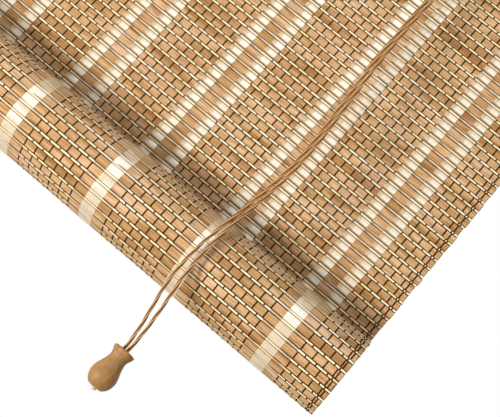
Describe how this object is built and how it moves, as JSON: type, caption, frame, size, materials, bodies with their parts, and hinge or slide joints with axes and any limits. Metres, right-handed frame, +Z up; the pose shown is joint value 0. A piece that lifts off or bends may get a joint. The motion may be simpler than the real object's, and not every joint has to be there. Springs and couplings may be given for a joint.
{
  "type": "bamboo roll up blind",
  "caption": "Woven bamboo roll up blind hung from a head rail, rolled part way up in cord slings and worked by a cord with a turned wooden acorn.",
  "frame": {"origin": "midway between the two hanging holes, on the wall side of the hanger plates", "axes": "+Z up, +X along the slats, the room is on the -Y side"},
  "size_m": [1.1992, 0.0871, 0.6521],
  "materials": {
    "rail_wood": "oiled, planed wood",
    "bamboo": "stained bamboo slats and pale sticks",
    "rod_wood": "sanded dowel",
    "yarn": "satin white yarn",
    "cord": "braided brown cord",
    "steel": "zinc plated",
    "lock_metal": "brass plated sheet",
    "wheel_plastic": "moulded nylon",
    "acorn_wood": "turned, lacquered wood",
    "knot_cord": "pale knotted cord end"
  },
  "bodies": {
    "head": {"head_rail": "rail_wood", "rear_batten": "rail_wood", "batten_screws": "steel", "hanger_screws": "steel", "left_hanger": "steel", "right_hanger": "steel", "woven_mat": "bamboo", "front_yarn_bands": "yarn", "rear_yarn_bands": "yarn", "left_pulley_fork": "steel", "right_pulley_fork": "steel", "left_pulley_pin": "steel", "right_pulley_pin": "steel", "pulley_screws": "steel", "lock_case": "lock_metal", "lock_screws": "steel", "lock_roller_pin": "steel", "lock_pawl_pin": "steel", "left_lift_cord_rear": "cord", "right_lift_cord_rear": "cord", "left_lift_cord_front": "cord", "right_lift_cord_front": "cord", "left_head_cord": "cord", "right_head_cord": "cord", "lift_cord_knots": "cord", "pull_cord_front_upper": "cord", "pull_cord_rear_upper": "cord"},
    "slings": {"left_lift_sling": "cord", "right_lift_sling": "cord"},
    "roll": {"mat_roll": "bamboo", "roll_yarn_bands": "yarn", "bottom_rod": "rod_wood"},
    "left_wheel": {"left_pulley_wheel": "wheel_plastic"},
    "right_wheel": {"right_pulley_wheel": "wheel_plastic"},
    "roller": {"lock_roller": "wheel_plastic"},
    "pawl": {"lock_pawl": "lock_metal"},
    "pull": {"pull_cord_front_lower": "cord", "pull_cord_rear_lower": "cord", "acorn": "acorn_wood", "acorn_knot": "knot_cord"}
  },
  "joints": [
    {"name": "roll_lift", "type": "slide", "parent": "head", "child": "slings", "axis": [0, 0, 1], "range_m": [0, 0.38453], "deforming": ["woven_mat", "front_yarn_bands", "rear_yarn_bands", "left_lift_cord_rear", "right_lift_cord_rear", "left_lift_cord_front", "right_lift_cord_front", "pull_cord_front_upper", "pull_cord_rear_upper"]},
    {"name": "roll_turn", "type": "hinge", "parent": "slings", "child": "roll", "pos_m": [0, -0.0419, -0.5318], "axis": [1, 0, 0], "range_deg": [-721, 1]},
    {"name": "left_wheel_turn", "type": "hinge", "parent": "head", "child": "left_wheel", "pos_m": [-0.21425, -0.0271, -0.06], "axis": [0, 1, 0], "continuous": true},
    {"name": "right_wheel_turn", "type": "hinge", "parent": "head", "child": "right_wheel", "pos_m": [0.22825, -0.0181, -0.06], "axis": [0, 1, 0], "continuous": true},
    {"name": "roller_turn", "type": "hinge", "parent": "head", "child": "roller", "pos_m": [0.47237, -0.0226, -0.06], "axis": [0, 1, 0], "continuous": true},
    {"name": "pawl_turn", "type": "hinge", "parent": "head", "child": "pawl", "pos_m": [0.48818, -0.0226, -0.064], "axis": [0, 1, 0], "range_deg": [0, 30]},
    {"name": "acorn_pull", "type": "slide", "parent": "slings", "child": "pull", "axis": [0, 0, -1], "range_m": [0, 1.15459]}
  ],
  "couplings": [
    {"joint": "roll_turn", "follows": "roll_lift", "rad_per_m": -32.68},
    {"joint": "left_wheel_turn", "follows": "roll_lift", "rad_per_m": 285.71},
    {"joint": "right_wheel_turn", "follows": "roll_lift", "rad_per_m": 285.71},
    {"joint": "roller_turn", "follows": "roll_lift", "rad_per_m": 285.71},
    {"joint": "acorn_pull", "follows": "roll_lift", "ratio": 3}
  ]
}
